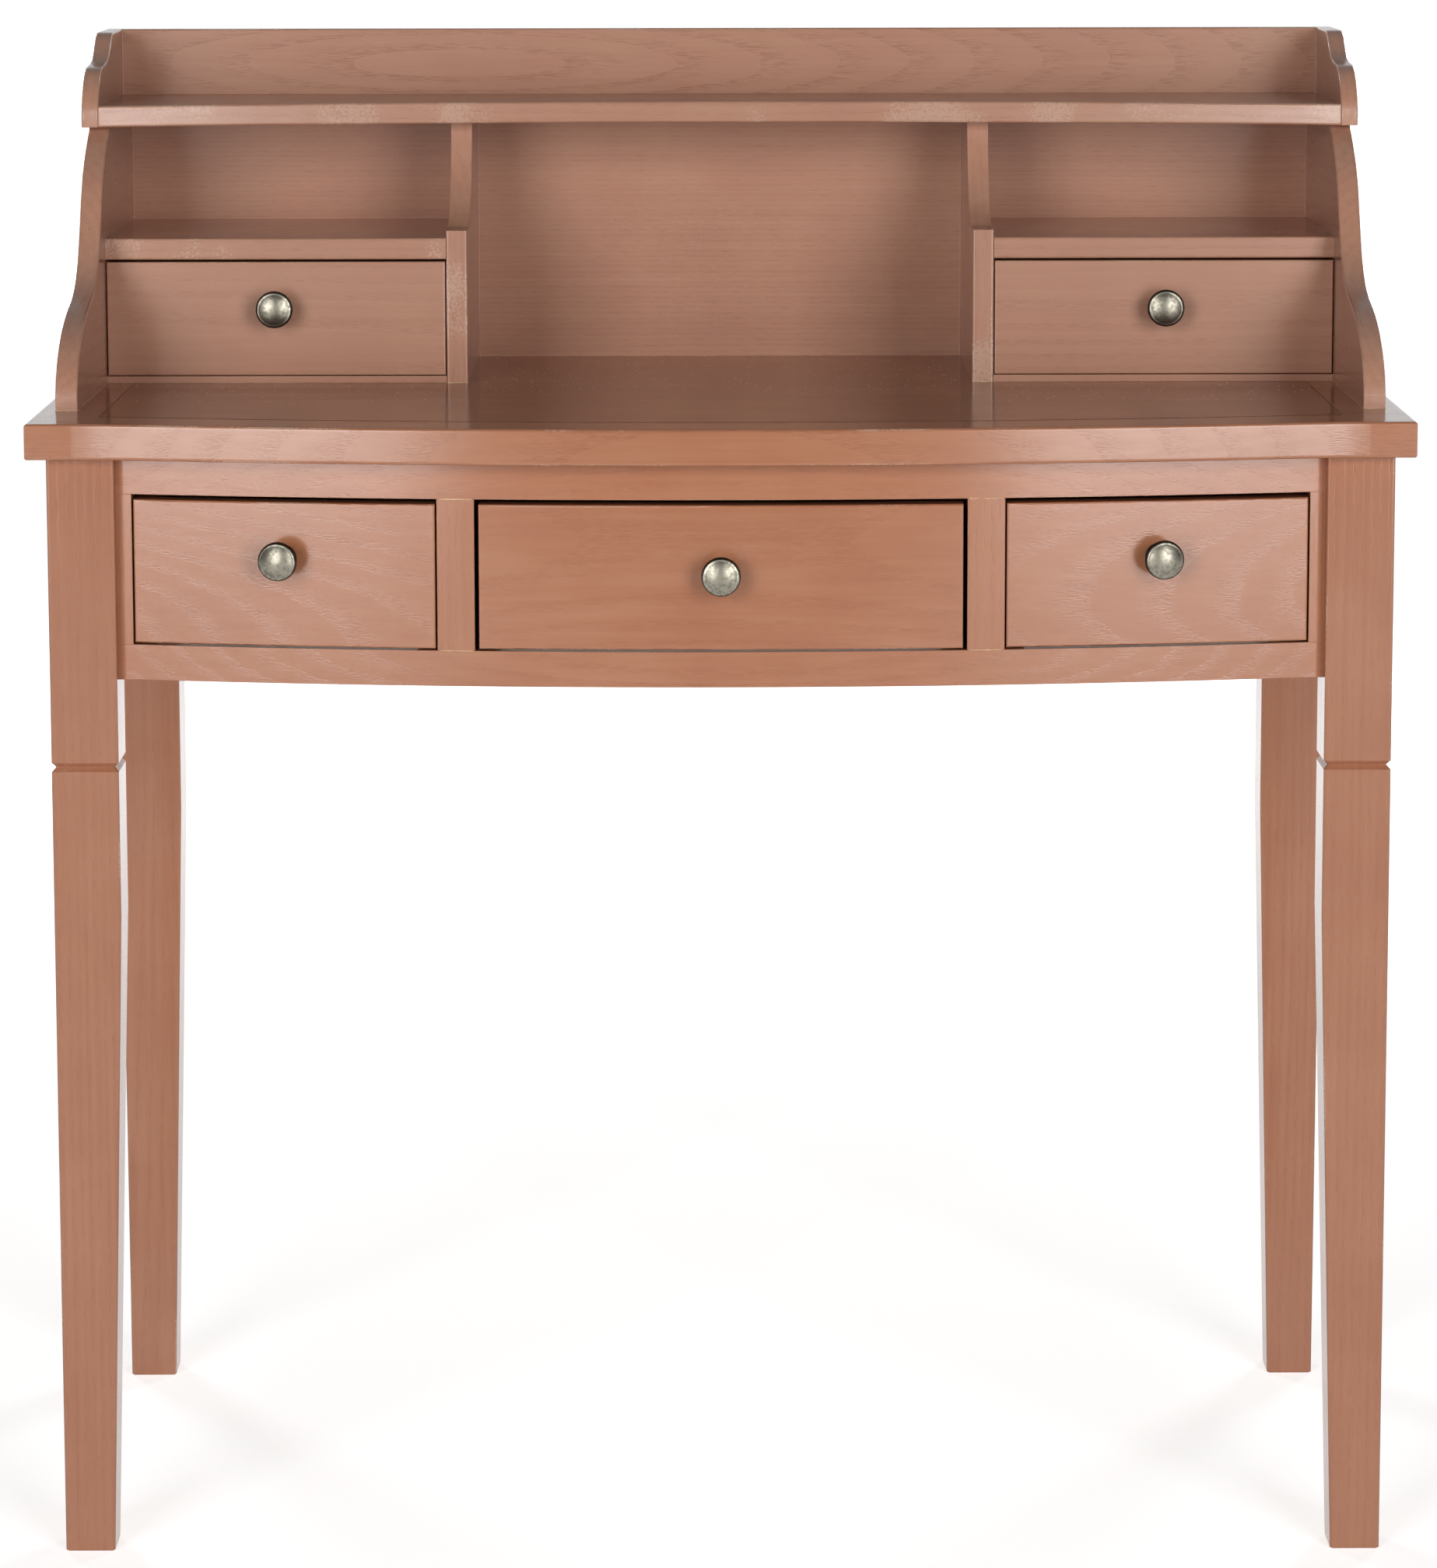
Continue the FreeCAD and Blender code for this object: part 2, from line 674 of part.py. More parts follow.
def all_nodes():
    right_front_leg = front_leg()
    right_rear_leg = rear_leg()
    right_apron = side_apron()
    right_side = hutch_side()
    nodes = {
        "desktop_panel": [desktop_panel()], "desktop_front_strip": [desktop_front_strip()],
        "desktop_end_strips": desktop_end_strips(),
        "leg_front_left": [mirrored(right_front_leg)], "leg_front_right": [right_front_leg],
        "leg_rear_left": [mirrored(right_rear_leg)], "leg_rear_right": [right_rear_leg],
        "apron_top_rail": [apron_top_rail()], "apron_bottom_rail": [apron_bottom_rail()],
        "apron_stiles": apron_stiles(), "apron_back": [apron_back()],
        "apron_side_left": [mirrored(right_apron)], "apron_side_right": [right_apron],
        "drawer_runners": drawer_runners(), "corner_blocks": corner_blocks(), "leg_bolts": leg_bolts(),
        "hutch_side_left": [mirrored(right_side)], "hutch_side_right": [right_side],
        "hutch_dividers": hutch_dividers(), "hutch_drawer_shelves": hutch_drawer_shelves(),
        "hutch_drawer_floors": hutch_drawer_floors(), "hutch_back_panel": [hutch_back_panel()],
        "hutch_top_shelf": [hutch_top_shelf()], "gallery_back": [gallery_back()],
        "gallery_ends": gallery_ends()}
    for one in all_drawers():
        nodes.update(one)
    return nodes


def all_drawers():
    return [
        desk_drawer("drawer_left", -opening_end, -divider_outer, side_front_gap, side_knob_rise),
        desk_drawer("drawer_center", -divider_inner, divider_inner, center_front_gap, center_knob_rise),
        desk_drawer("drawer_right", divider_outer, opening_end, side_front_gap, side_knob_rise),
        hutch_drawer("hutch_drawer_left", -hutch_inner, -bay_outer),
        hutch_drawer("hutch_drawer_right", bay_outer, hutch_inner)]


os.makedirs("parts", exist_ok=True)
for node_name, solids in all_nodes().items():
    shape = solids[0] if len(solids) == 1 else Part.makeCompound(solids)
    shape.exportStep("parts/" + node_name + ".step")
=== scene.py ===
# %% [markdown]
# # A painted writing desk with a hutch
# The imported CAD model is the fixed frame: every board already stands in its place, in metres.
# This script dresses it: it paints the boards, turns the drawer knobs, and sets up light and camera.
# Nothing is moved, so the first thing to keep is the box that the CAD model fills.

# %% Load the frame
import bpy
from math import cos, pi, radians, sin
from mathutils import Matrix, Vector


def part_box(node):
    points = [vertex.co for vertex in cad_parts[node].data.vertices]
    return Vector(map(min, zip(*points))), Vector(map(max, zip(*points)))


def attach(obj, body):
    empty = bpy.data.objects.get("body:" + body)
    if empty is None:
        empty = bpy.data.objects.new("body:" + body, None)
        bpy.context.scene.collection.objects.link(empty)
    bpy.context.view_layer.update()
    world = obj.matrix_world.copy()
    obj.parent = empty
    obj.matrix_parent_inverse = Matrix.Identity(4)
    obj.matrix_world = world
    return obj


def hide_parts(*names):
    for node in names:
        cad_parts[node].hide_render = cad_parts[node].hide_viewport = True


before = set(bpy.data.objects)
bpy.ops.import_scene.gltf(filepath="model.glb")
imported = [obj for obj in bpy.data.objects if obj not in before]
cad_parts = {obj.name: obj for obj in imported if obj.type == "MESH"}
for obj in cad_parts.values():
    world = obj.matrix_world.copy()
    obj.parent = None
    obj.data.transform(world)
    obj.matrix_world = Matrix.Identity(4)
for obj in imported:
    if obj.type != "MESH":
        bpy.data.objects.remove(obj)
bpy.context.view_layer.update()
MM = 0.001

# %% [markdown]
# ## Three helpers
# Colours are easiest to pick as sRGB hex values, but shaders add up light in linear values, so one function
# turns the first into the second. Another adds a node, sets it and links it in one line, which works the
# same way for shader trees and for Geometry Nodes. The last one starts an empty material.


# %% Colour and node helpers
def linear(hex_colour):
    """An sRGB hex colour as the linear RGBA that Blender's sockets take."""
    shares = [int(hex_colour[i:i + 2], 16) / 255 for i in (1, 3, 5)]
    return [s / 12.92 if s <= 0.04045 else ((s + 0.055) / 1.055) ** 2.4 for s in shares] + [1.0]


def add(tree, kind, inputs=None, **settings):
    """Add a node of a kind, set its properties, then set or link its inputs, named or numbered."""
    made = tree.nodes.new(kind)
    for name, value in settings.items():
        setattr(made, name, value)
    for name, value in (inputs or {}).items():
        if isinstance(value, bpy.types.NodeSocket):
            tree.links.new(value, made.inputs[name])
        else:
            made.inputs[name].default_value = value
    return made


def new_material(name):
    """An empty material with its node tree."""
    material = bpy.data.materials.new(name)
    material.use_nodes = True
    material.node_tree.nodes.clear()
    return material, material.node_tree


print("terracotta in linear values:", [round(v, 3) for v in linear("#ba7a5b")])

# %% [markdown]
# ## The camera
# The desk is seen from the front, a little from above, with a long lens, so its sides hardly converge.
# The lens is given as its focal length in pixels of a 1847 x 2016 picture. The camera is pitched only part of
# the way down and a shift of the lens does the rest, so that the legs stay nearly upright, as with a view
# camera.

# %% Camera
PICTURE_HEIGHT = 2016
SENSOR = 36.0
FOCAL_PIXELS = 7026.8
CAMERA_PLACE = (-0.00416, -3.8053, 1.1645)
CAMERA_PITCH, CAMERA_YAW, CAMERA_ROLL = 0.1400, 0.0007, -0.0018
CAMERA_SHIFT = -0.12

camera = bpy.data.objects.new("camera", bpy.data.cameras.new("camera"))
bpy.context.collection.objects.link(camera)
camera.data.sensor_width = SENSOR
camera.data.lens = FOCAL_PIXELS / PICTURE_HEIGHT * SENSOR
camera.data.shift_y = CAMERA_SHIFT
turn = Matrix.Rotation(-CAMERA_YAW, 4, "Z") @ Matrix.Rotation(pi / 2 - CAMERA_PITCH, 4, "X")
camera.matrix_world = Matrix.Translation(CAMERA_PLACE) @ turn @ Matrix.Rotation(CAMERA_ROLL, 4, "Z")
bpy.context.scene.camera = camera
print("lens:", round(camera.data.lens, 1), "mm")

# %% [markdown]
# ## Studio
# Two tall softboxes stand at the left and the right of the camera, so the desk is lit evenly from side to
# side and each knob has two highlights and two shadows. They reach from the floor to well above the desk, so
# the bowed front mirrors them, and the bright ground below them, as a sheen in its outer thirds. Two more
# light the back.
# The white ground is seen by the camera and in reflections only. Near the desk it glows a little less, so
# that the light that falls on it can still show a soft shadow. Reflections see the room in front of the desk
# and above it darker, so that the glossy paint doesn't mirror white everywhere and keeps its colour.

# %% Lights
scene = bpy.context.scene
scene.view_settings.view_transform = "Standard"

SOFTBOX_AIM = Vector((0, 0, 0.75))
SOFTBOXES = {
    "front_softbox": dict(place=(2.27, -4.95, 1.55), size=(1.90, 2.90), power=(133.0, 142.0)),
    "rear_softbox": dict(place=(2.10, 3.60, 1.30), size=(0.90, 1.20), power=(50.0, 50.0)),
}
for name, box in SOFTBOXES.items():
    for side, end, power in zip((-1, 1), ("left", "right"), box["power"]):
        lamp = bpy.data.lights.new(f"{name}_{end}", "AREA")
        softbox = bpy.data.objects.new(lamp.name, lamp)
        bpy.context.collection.objects.link(softbox)
        lamp.shape, lamp.energy = "RECTANGLE", power
        lamp.size, lamp.size_y = box["size"]
        softbox.location = (side * box["place"][0], *box["place"][1:])
        softbox.rotation_euler = (SOFTBOX_AIM - softbox.location).to_track_quat("-Z", "Y").to_euler()
        print(lamp.name, lamp.energy, "W")

# %% World and floor
WORLD_LIGHT = 0.008
CEILING_LIGHT = 0.30
FRONT_LIGHT = 0.10
FLOOR_HALF = 30.0
FLOOR_GLOW = 0.66
FLOOR_NEAR, FLOOR_FAR = 1.2, 3.0


def camera_ray(tree):
    """1 for rays that come straight from the camera, else 0."""
    return add(tree, "ShaderNodeLightPath").outputs["Is Camera Ray"]


def seen_directly(tree):
    """1 for rays from the camera, in mirrors and through glass, else 0."""
    path = add(tree, "ShaderNodeLightPath")
    first = add(tree, "ShaderNodeMath", {0: camera_ray(tree), 1: path.outputs["Is Glossy Ray"]},
                operation="MAXIMUM")
    return add(tree, "ShaderNodeMath", {0: first.outputs[0], 1: path.outputs["Is Transmission Ray"]},
               operation="MAXIMUM").outputs[0]


world = bpy.data.worlds.new("white_studio")
world.use_nodes = True
scene.world = world
tree = world.node_tree
tree.nodes.clear()
upward = add(tree, "ShaderNodeSeparateXYZ", {0: add(tree, "ShaderNodeTexCoord").outputs["Generated"]})
low = add(tree, "ShaderNodeMapRange", {"Value": upward.outputs["Z"], "From Min": 0.2, "From Max": 0.5,
                                       "To Min": 1.0, "To Max": CEILING_LIGHT})
behind = add(tree, "ShaderNodeMapRange", {"Value": upward.outputs["Y"], "From Min": -0.5, "From Max": 0.3,
                                          "To Min": FRONT_LIGHT, "To Max": 1.0})
mirrored = add(tree, "ShaderNodeMath", {0: low.outputs[0], 1: behind.outputs[0]}, operation="MULTIPLY")
backdrop = add(tree, "ShaderNodeMath", {0: mirrored.outputs[0], 1: camera_ray(tree)}, operation="MAXIMUM")
dim = add(tree, "ShaderNodeBackground", {"Color": linear("#ffffff"), "Strength": WORLD_LIGHT})
white = add(tree, "ShaderNodeBackground", {"Color": linear("#ffffff"), "Strength": backdrop.outputs[0]})
both = add(tree, "ShaderNodeMixShader", {0: seen_directly(tree), 1: dim.outputs[0], 2: white.outputs[0]})
add(tree, "ShaderNodeOutputWorld", {"Surface": both.outputs[0]})

floor_mesh = bpy.data.meshes.new("floor")
floor_mesh.from_pydata([(x * FLOOR_HALF, y * FLOOR_HALF, 0) for x, y in ((-1, -1), (1, -1), (1, 1), (-1, 1))],
                       [], [(0, 1, 2, 3)])
floor = bpy.data.objects.new("floor", floor_mesh)
bpy.context.collection.objects.link(floor)
floor_paper, tree = new_material("white_paper_ground")
paper = add(tree, "ShaderNodeBsdfDiffuse", {"Color": linear("#f0f0f0")})
place = add(tree, "ShaderNodeTexCoord").outputs["Object"]
away = add(tree, "ShaderNodeVectorMath", {0: place}, operation="LENGTH")
far = add(tree, "ShaderNodeMapRange", {"Value": away.outputs["Value"], "From Min": FLOOR_NEAR,
                                       "From Max": FLOOR_FAR, "To Min": FLOOR_GLOW, "To Max": 1.0})
to_front = add(tree, "ShaderNodeSeparateXYZ", {0: place})
behind = add(tree, "ShaderNodeMapRange", {"Value": to_front.outputs["Y"], "From Min": -FLOOR_FAR,
                                          "From Max": -FLOOR_NEAR, "To Min": FRONT_LIGHT, "To Max": 1.0})
kept = add(tree, "ShaderNodeMath", {0: behind.outputs[0], 1: camera_ray(tree)}, operation="MAXIMUM")
strength = add(tree, "ShaderNodeMath", {0: far.outputs[0], 1: kept.outputs[0]}, operation="MULTIPLY")
glow = add(tree, "ShaderNodeEmission", {"Color": linear("#ffffff"), "Strength": strength.outputs[0]})
seen_glow = add(tree, "ShaderNodeMixShader", {0: seen_directly(tree), 2: glow.outputs[0]})
lit = add(tree, "ShaderNodeAddShader", {0: paper.outputs[0], 1: seen_glow.outputs[0]})
add(tree, "ShaderNodeOutputMaterial", {"Surface": lit.outputs[0]})
floor_mesh.materials.append(floor_paper)
print("world:", WORLD_LIGHT, "floor:", 2 * FLOOR_HALF, "m wide")

# %% [markdown]
# ## Painted ash
# The boards are ash under a satin terracotta paint that is thin enough to show the wood below: rows of pores
# sink in and catch dark paint. Ash is sawn flat, so a board cuts the year rings at a slant, and their lines
# run in long arches. A Wave texture makes rings round a heart that a Mapping node lays beside the board and
# stretches along the grain. Stretched noise makes the pores, and the rings decide where they are dense.
# Real pores are a quarter as wide as these, which would be too fine to show.
# A Bevel node rounds the sharp edges in the shading, so that they catch the light, and where it turns the
# normal the paint is worn to pale speckles. The apron's paint is shaded as one bow from leg to leg, so that
# its sheen runs on over the joints.
# One function paints all boards, and each gets its own grain direction, ring width and heart.

# %% Painted ash
WAVE_PERIOD = 2 * pi / 20
PORE_LENGTH = 9 * MM
PORE_WIDTH = 0.7 * MM
STREAK_LENGTH = 150 * MM
STREAK_WIDTH = 5 * MM
PATCH_SIZE = 70 * MM
NIB_SPACING = 22 * MM
SPECKLE = 1.6 * MM
EDGE_RADIUS = 0.9 * MM
BUMP_HEIGHT = 0.1 * MM
SHEEN = 0.65
GLOSS_SPREAD = 0.03
PORE_SHARE = 0.6
BOW_RADIUS = 1990 * MM
BOW_AXIS = (0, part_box("apron_top_rail")[0][1] + BOW_RADIUS, 0)
TERRACOTTA = ("#ab6f4f", "#b07555", "#b47b5c")
# The deep colour is painted shade: it makes the desktop panel darker than the rest of the paint.
TERRACOTTA_PAINTED_SHADE = ("#91593b", "#965f40", "#9b6545")
# The leg colour is painted shade: it makes the legs a little darker than the rest of the paint.
LEG_TERRACOTTA_PAINTED_SHADE = ("#a66b4d", "#ab7153", "#af7759")
# The pale colour is painted light and sheen: it makes the hutch paler than the desk below it.
TERRACOTTA_PAINTED_LIGHTER = ("#b7866f", "#bc8c74", "#c0927a")
PORE_DARK, WORN = "#86513a", "#dcc0ad"


def along(axis, length, width):
    """Scale of a texture that is drawn out along one axis, from its real length and width."""
    return [1 / length if letter == axis else 1 / width for letter in "XYZ"]


def painted_ash(name, grain="X", ring=7.0, heart=(0, 0, 0), arch=0.03, tilt=(0, 0, 0), figure=0.4, gloss=0.15,
                round_axis=None, bowed=False, wear=0.4, scuff=0.0, paint=TERRACOTTA):
    """Satin paint over flat-sawn ash. The heart's place is in metres, ring is the ring width in mm, arch says
    how soon the rings close along the grain and figure how dark the pores are. Gloss is the roughness, wear
    the share of paint lost on the edges and scuff the share lost on a front. Round_axis is the axis of a
    curved board, which keeps its curve from looking worn, and bowed follows the bow of the apron."""
    material, tree = new_material(name)
    place = add(tree, "ShaderNodeTexCoord").outputs["Object"]
    centred = add(tree, "ShaderNodeVectorMath", {0: place, 1: heart}, operation="SUBTRACT")
    drawn_out = [arch if letter == grain else 1 for letter in "XYZ"]
    from_heart = add(tree, "ShaderNodeMapping", {"Vector": centred.outputs[0], "Rotation": tilt,
                                                 "Scale": drawn_out})
    rings = add(tree, "ShaderNodeTexWave",
                {"Vector": from_heart.outputs[0], "Scale": WAVE_PERIOD / (ring * MM), "Distortion": 2.6,
                 "Detail": 3.0, "Detail Scale": 0.4, "Detail Roughness": 0.6},
                wave_type="RINGS", rings_direction="SPHERICAL", wave_profile="SAW")
    early = add(tree, "ShaderNodeMapRange",
                {"Value": rings.outputs["Fac"], "From Min": 0.7, "From Max": 0.05, "To Min": 0.1},
                interpolation_type="SMOOTHSTEP")

    pore_place = add(tree, "ShaderNodeMapping", {"Vector": centred.outputs[0],
                                                 "Scale": along(grain, PORE_LENGTH, PORE_WIDTH)})
    pore_noise = add(tree, "ShaderNodeTexNoise",
                     {"Vector": pore_place.outputs[0], "Scale": 1.0, "Detail": 2.0})
    pore = add(tree, "ShaderNodeMapRange",
               {"Value": pore_noise.outputs["Fac"], "From Min": 0.42, "From Max": 0.66})
    pores = add(tree, "ShaderNodeMath", {0: pore.outputs[0], 1: early.outputs[0]}, operation="MULTIPLY")

    streak_place = add(tree, "ShaderNodeMapping", {"Vector": centred.outputs[0],
                                                   "Scale": along(grain, STREAK_LENGTH, STREAK_WIDTH)})
    streak = add(tree, "ShaderNodeTexNoise", {"Vector": streak_place.outputs[0], "Scale": 1.0, "Detail": 4.0})
    patch = add(tree, "ShaderNodeTexNoise",
                {"Vector": centred.outputs[0], "Scale": 1 / PATCH_SIZE, "Detail": 2.0})
    tone = add(tree, "ShaderNodeMix", {0: 0.5, 2: streak.outputs["Fac"], 3: patch.outputs["Fac"]},
               data_type="FLOAT")
    coat = add(tree, "ShaderNodeValToRGB", {"Fac": tone.outputs[0]})
    coat.color_ramp.elements[0].position, coat.color_ramp.elements[1].position = 0.35, 0.65
    coat.color_ramp.elements[0].color, coat.color_ramp.elements[1].color = linear(paint[0]), linear(paint[2])
    coat.color_ramp.elements.new(0.5).color = linear(paint[1])
    pore_share = add(tree, "ShaderNodeMath", {0: pores.outputs[0], 1: PORE_SHARE * figure},
                     operation="MULTIPLY")
    grained = add(tree, "ShaderNodeMix", {0: pore_share.outputs[0], 6: coat.outputs[0], 7: linear(PORE_DARK)},
                  data_type="RGBA")

    speckle = add(tree, "ShaderNodeTexNoise", {"Vector": place, "Scale": 1 / SPECKLE, "Detail": 2.0})
    worn_patch = add(tree, "ShaderNodeMapRange",
                     {"Value": patch.outputs["Fac"], "From Min": 0.42, "From Max": 0.66, "To Min": 0.10})
    chips = add(tree, "ShaderNodeMath", {0: speckle.outputs["Fac"], 1: worn_patch.outputs[0], 2: -0.18},
                operation="MULTIPLY_ADD")
    normal = add(tree, "ShaderNodeBevel", {"Radius": EDGE_RADIUS}).outputs[0]
    if bowed:
        from_axis = add(tree, "ShaderNodeVectorMath", {0: place, 1: BOW_AXIS}, operation="SUBTRACT")
        level = add(tree, "ShaderNodeVectorMath", {0: from_axis.outputs[0], 1: (1, 1, 0)},
                    operation="MULTIPLY")
        outward = add(tree, "ShaderNodeVectorMath", {0: level.outputs[0]}, operation="NORMALIZE")
        facing = add(tree, "ShaderNodeVectorMath", {0: normal, 1: outward.outputs[0]},
                     operation="DOT_PRODUCT")
        on_front = add(tree, "ShaderNodeMapRange", {"Value": facing.outputs["Value"], "From Min": 0.92,
                                                    "From Max": 0.97})
        normal = add(tree, "ShaderNodeMix", {0: on_front.outputs[0], 4: normal, 5: outward.outputs[0]},
                     data_type="VECTOR").outputs[1]
    turned = add(tree, "ShaderNodeVectorMath", {0: normal}, operation="ABSOLUTE")
    parts = add(tree, "ShaderNodeSeparateXYZ", {0: turned.outputs[0]})
    if round_axis:
        square = add(tree, "ShaderNodeMath", {0: parts.outputs[round_axis], 1: 2.0}, operation="POWER")
        rest = add(tree, "ShaderNodeMath", {0: 1.0, 1: square.outputs[0]}, operation="SUBTRACT")
        other = add(tree, "ShaderNodeMath", {0: rest.outputs[0]}, operation="SQRT").outputs[0]
        flat = add(tree, "ShaderNodeMath", {0: parts.outputs[round_axis], 1: other}, operation="MAXIMUM")
    else:
        flat = add(tree, "ShaderNodeMath", {0: parts.outputs["X"], 1: parts.outputs["Y"]},
                   operation="MAXIMUM")
        flat = add(tree, "ShaderNodeMath", {0: flat.outputs[0], 1: parts.outputs["Z"]}, operation="MAXIMUM")
    arris = add(tree, "ShaderNodeMapRange", {"Value": flat.outputs[0], "From Min": 0.975, "From Max": 0.86})
    front = add(tree, "ShaderNodeMapRange", {"Value": parts.outputs["Y"], "From Min": 0.9, "From Max": 1.0,
                                             "To Max": scuff})
    bare_here = add(tree, "ShaderNodeMath", {0: arris.outputs[0], 1: wear, 2: front.outputs[0]},
                    operation="MULTIPLY_ADD")
    chipped = add(tree, "ShaderNodeMapRange", {"Value": chips.outputs[0], "From Min": 0.16, "From Max": 0.30})
    worn = add(tree, "ShaderNodeMath", {0: bare_here.outputs[0], 1: chipped.outputs[0]}, operation="MULTIPLY",
               use_clamp=True)
    coloured = add(tree, "ShaderNodeMix", {0: worn.outputs[0], 6: grained.outputs[2], 7: linear(WORN)},
                   data_type="RGBA")

    nib = add(tree, "ShaderNodeTexVoronoi", {"Vector": place, "Scale": 1 / NIB_SPACING})
    nibs = add(tree, "ShaderNodeMapRange",
               {"Value": nib.outputs["Distance"], "From Min": 0.05, "From Max": 0.02})
    sunk = add(tree, "ShaderNodeMath", {0: pores.outputs[0], 1: -1.0, 2: nibs.outputs[0]},
               operation="MULTIPLY_ADD")
    bump = add(tree, "ShaderNodeBump", {"Height": sunk.outputs[0], "Strength": 0.22, "Distance": BUMP_HEIGHT,
                                        "Normal": normal})
    satin = add(tree, "ShaderNodeMapRange",
                {"Value": tone.outputs[0], "From Min": 0.3, "From Max": 0.7, "To Min": gloss + GLOSS_SPREAD,
                 "To Max": gloss - GLOSS_SPREAD})
    shader = add(tree, "ShaderNodeBsdfPrincipled",
                 {"Base Color": coloured.outputs[2], "Roughness": satin.outputs[0], "Normal": bump.outputs[0],
                  "Specular IOR Level": SHEEN})
    add(tree, "ShaderNodeOutputMaterial", {"Surface": shader.outputs[0]})
    return material


def finish_node(name, material):
    """Give a CAD node one material in every slot it has."""
    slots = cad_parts[name].data.materials
    slots.clear()
    slots.append(material)


# %% [markdown]
# ## Which board has which grain
# A joiner cuts a board with the grain along its length, so rails run across, legs and stiles run up and the
# sides run front to back. The heart lies beside each board at another place, so no two look alike.
# The hutch has a paler coat than the desk below it, as painted light and sheen; the panel in the top has the
# deepest coat and the legs a slightly deeper one, as painted shade.
# The gallery at the back of the top shelf shows the strongest figure: nested ovals on its left half.

# %% Paint the boards
TOP = dict(gloss=0.17, figure=0.6)
# The hutch's paler paint is painted light and sheen.
HUTCH = dict(gloss=0.20, paint=TERRACOTTA_PAINTED_LIGHTER)
BOARDS = {
    # The desktop panel's deeper paint is painted shade.
    "desktop_panel": dict(grain="X", ring=9, heart=(-0.1, -0.05, 0.70), tilt=(0, 0.02, 0.03),
                          paint=TERRACOTTA_PAINTED_SHADE, **TOP),
    "desktop_front_strip": dict(grain="X", ring=6, heart=(0, -0.50, 0.73), round_axis="Z", **TOP),
    "desktop_end_strips": dict(grain="Y", ring=6, heart=(-0.3, 0, 0.70), **TOP),
    # The legs' deeper paint is painted shade.
    "leg_front_left": dict(grain="Z", ring=5, heart=(-0.47, -0.23, 0.3), tilt=(0.01, 0.02, 0),
                           paint=LEG_TERRACOTTA_PAINTED_SHADE),
    "leg_front_right": dict(grain="Z", ring=5, heart=(0.36, -0.25, 0.4), tilt=(0.02, -0.01, 0),
                            paint=LEG_TERRACOTTA_PAINTED_SHADE),
    "leg_rear_left": dict(grain="Z", ring=6, heart=(-0.46, 0.18, 0.5), tilt=(0.01, 0.01, 0),
                          paint=LEG_TERRACOTTA_PAINTED_SHADE),
    "leg_rear_right": dict(grain="Z", ring=6, heart=(0.38, 0.2, 0.2), tilt=(-0.01, 0.02, 0),
                           paint=LEG_TERRACOTTA_PAINTED_SHADE),
    "apron_top_rail": dict(grain="X", ring=5, heart=(0, -0.3, 0.70), round_axis="Z", bowed=True),
    "apron_bottom_rail": dict(grain="X", ring=5, heart=(0, -0.27, 0.63), round_axis="Z", bowed=True),
    "apron_stiles": dict(grain="Z", ring=5, heart=(-0.02, -0.31, 0.6), round_axis="Z", bowed=True),
    "apron_back": dict(grain="X", ring=8, heart=(0, 0.16, 0.6)),
    "apron_side_left": dict(grain="Y", ring=8, heart=(-0.50, 0, 0.62), arch=0.1, tilt=(0.03, 0, 0)),
    "apron_side_right": dict(grain="Y", ring=8, heart=(0.50, 0, 0.64), arch=0.1, tilt=(0.02, 0, 0)),
    "hutch_side_left": dict(grain="Y", ring=7, heart=(-0.50, 0, 0.86), arch=0.15, round_axis="X", **HUTCH),
    "hutch_side_right": dict(grain="Y", ring=7, heart=(0.5, 0, 0.83), arch=0.15, round_axis="X", **HUTCH),
    "hutch_dividers": dict(grain="Z", ring=6, heart=(-0.25, 0.1, 0.8), round_axis="X", wear=0.8, scuff=0.35,
                           **HUTCH),
    "hutch_drawer_shelves": dict(grain="X", ring=5, heart=(0, 0.1, 0.80), wear=0.7, scuff=0.5, **HUTCH),
    "hutch_drawer_floors": dict(grain="X", ring=5, heart=(0, 0.1, 0.74), **HUTCH),
    "hutch_back_panel": dict(grain="X", ring=3.6, heart=(-0.1, 0.20, 0.70), arch=0.05, tilt=(0, 0.02, 0),
                             **HUTCH),
    "hutch_top_shelf": dict(grain="X", ring=6, heart=(0, 0.1, 0.90), round_axis="Z", scuff=0.3, **HUTCH),
    "gallery_back": dict(grain="X", ring=6, heart=(-0.19, 0.225, 0.992), arch=0.13, figure=0.6, **HUTCH),
    "gallery_ends": dict(grain="Y", ring=6, heart=(0, 0.1, 0.97), arch=0.1, round_axis="X", wear=0.9,
                         **HUTCH),
    "drawer_left_front": dict(grain="X", ring=7, heart=(-0.3, -0.10, 0.62), arch=0.08, round_axis="Z"),
    "drawer_center_front": dict(grain="X", ring=7, heart=(0.1, -0.12, 0.70), arch=0.06, round_axis="Z"),
    "drawer_right_front": dict(grain="X", ring=7, heart=(0.2, -0.10, 0.66), arch=0.08, round_axis="Z"),
    "hutch_drawer_left_front": dict(grain="X", ring=6, heart=(-0.4, 0.12, 0.80), arch=0.07, **HUTCH),
    "hutch_drawer_right_front": dict(grain="X", ring=6, heart=(0.2, 0.12, 0.85), arch=0.07, **HUTCH),
}
for board, cut in BOARDS.items():
    finish_node(board, painted_ash(f"painted_ash_{board}", **cut))
print("painted boards:", len(BOARDS))

# %% [markdown]
# ## Bare wood inside
# Drawer boxes, runners and corner blocks stay unpainted: planed pale poplar with soft rings and a dull
# surface. It is the same ring idea with far less contrast.

# %% Planed poplar
POPLAR, POPLAR_DARK = "#d9bf97", "#bf9c6d"
POPLAR_RING = 6 * MM
PITH_TILT = 0.02
FIBRE_LENGTH = 40 * MM
FIBRE_WIDTH = 0.8 * MM


